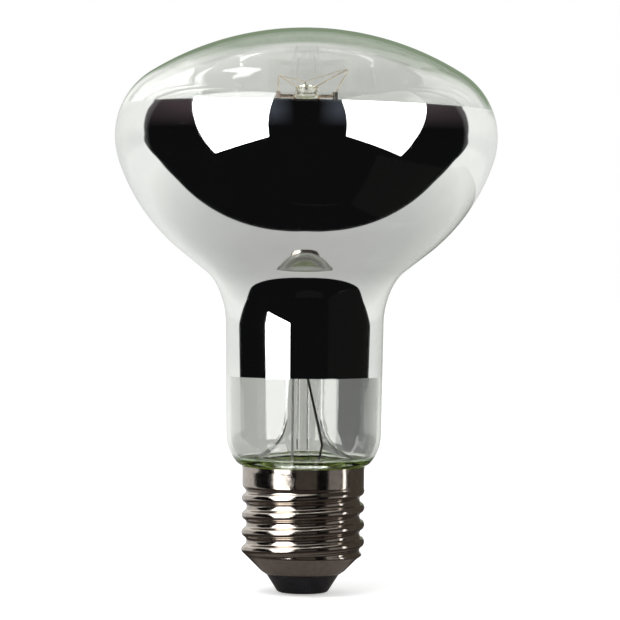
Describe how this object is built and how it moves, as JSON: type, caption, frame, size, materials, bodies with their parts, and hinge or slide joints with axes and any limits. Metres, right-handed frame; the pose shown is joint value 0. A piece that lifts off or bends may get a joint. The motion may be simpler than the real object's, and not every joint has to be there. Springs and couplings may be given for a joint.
{
  "type": "reflector bulb",
  "caption": "Reflector lamp with a clear dome, a mirrored bowl, a glass stem that holds the filament, and a 27 mm screw cap.",
  "frame": {"origin": "on the lamp's axis, at the flat crown of the solder on the centre contact", "axes": "+Z along the lamp's axis from the contact to the dome, +X to the right and -Y to the front as pictured"},
  "size_m": [0.081, 0.081, 0.1199],
  "materials": {
    "clear_glass": "clear, polished",
    "mirror_film": "evaporated aluminium mirror",
    "stem_glass": "clear, slightly wavy",
    "nickel_plate": "nickel plate, rolled",
    "black_glass": "black glass, glossy",
    "contact_metal": "stamped",
    "solder": "soft satin",
    "cement": "matt",
    "nickel_wire": "drawn wire",
    "copper_wire": "drawn wire",
    "support_wire": "drawn molybdenum wire",
    "tungsten": "coiled wire, dull"
  },
  "bodies": {
    "root": {"envelope": "clear_glass", "mirror_coating": "mirror_film", "stem": "stem_glass", "exhaust_tube": "stem_glass", "glass_arbor": "stem_glass", "filament": "tungsten", "centre_wire": "copper_wire", "side_wire": "copper_wire", "basing_cement": "cement", "cap_shell": "nickel_plate", "insulator": "black_glass", "centre_contact": "contact_metal", "contact_solder": "solder", "side_solder": "solder", "lead_left": "nickel_wire", "lead_right": "nickel_wire", "seal_wire_left": "copper_wire", "seal_wire_right": "copper_wire", "support_1": "support_wire", "support_2": "support_wire", "support_3": "support_wire"}
  },
  "joints": []
}
